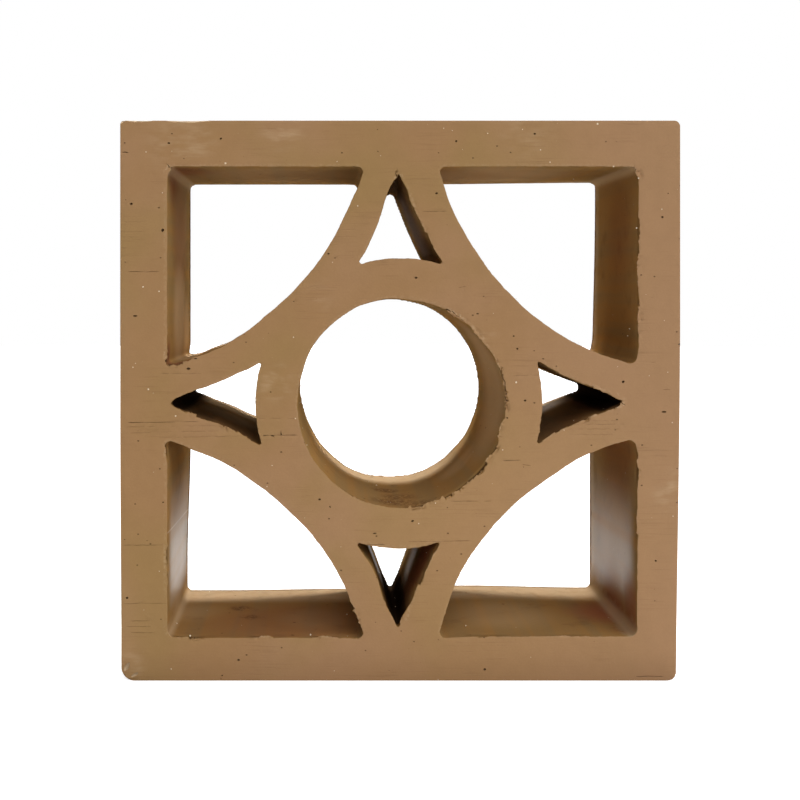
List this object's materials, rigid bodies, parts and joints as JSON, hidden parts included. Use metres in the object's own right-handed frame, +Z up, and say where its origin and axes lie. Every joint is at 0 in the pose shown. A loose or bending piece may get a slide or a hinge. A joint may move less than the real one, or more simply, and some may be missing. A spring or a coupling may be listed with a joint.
{
  "type": "terracotta breeze block",
  "caption": "Square terracotta screen block, pierced right through: a round ring at the middle, arched ribs across the corners, open corner cells and pointed darts.",
  "frame": {"origin": "middle of the underside, on which the block lies in its mortar bed", "axes": "+X along the width, +Y from the front face to the back face, +Z up"},
  "size_m": [0.2, 0.075, 0.2],
  "materials": {
    "clay": "unglazed fired clay, matte, light brown, with wire-drag lines, grit and torn edges"
  },
  "bodies": {
    "root": {"block": "clay"}
  },
  "joints": []
}
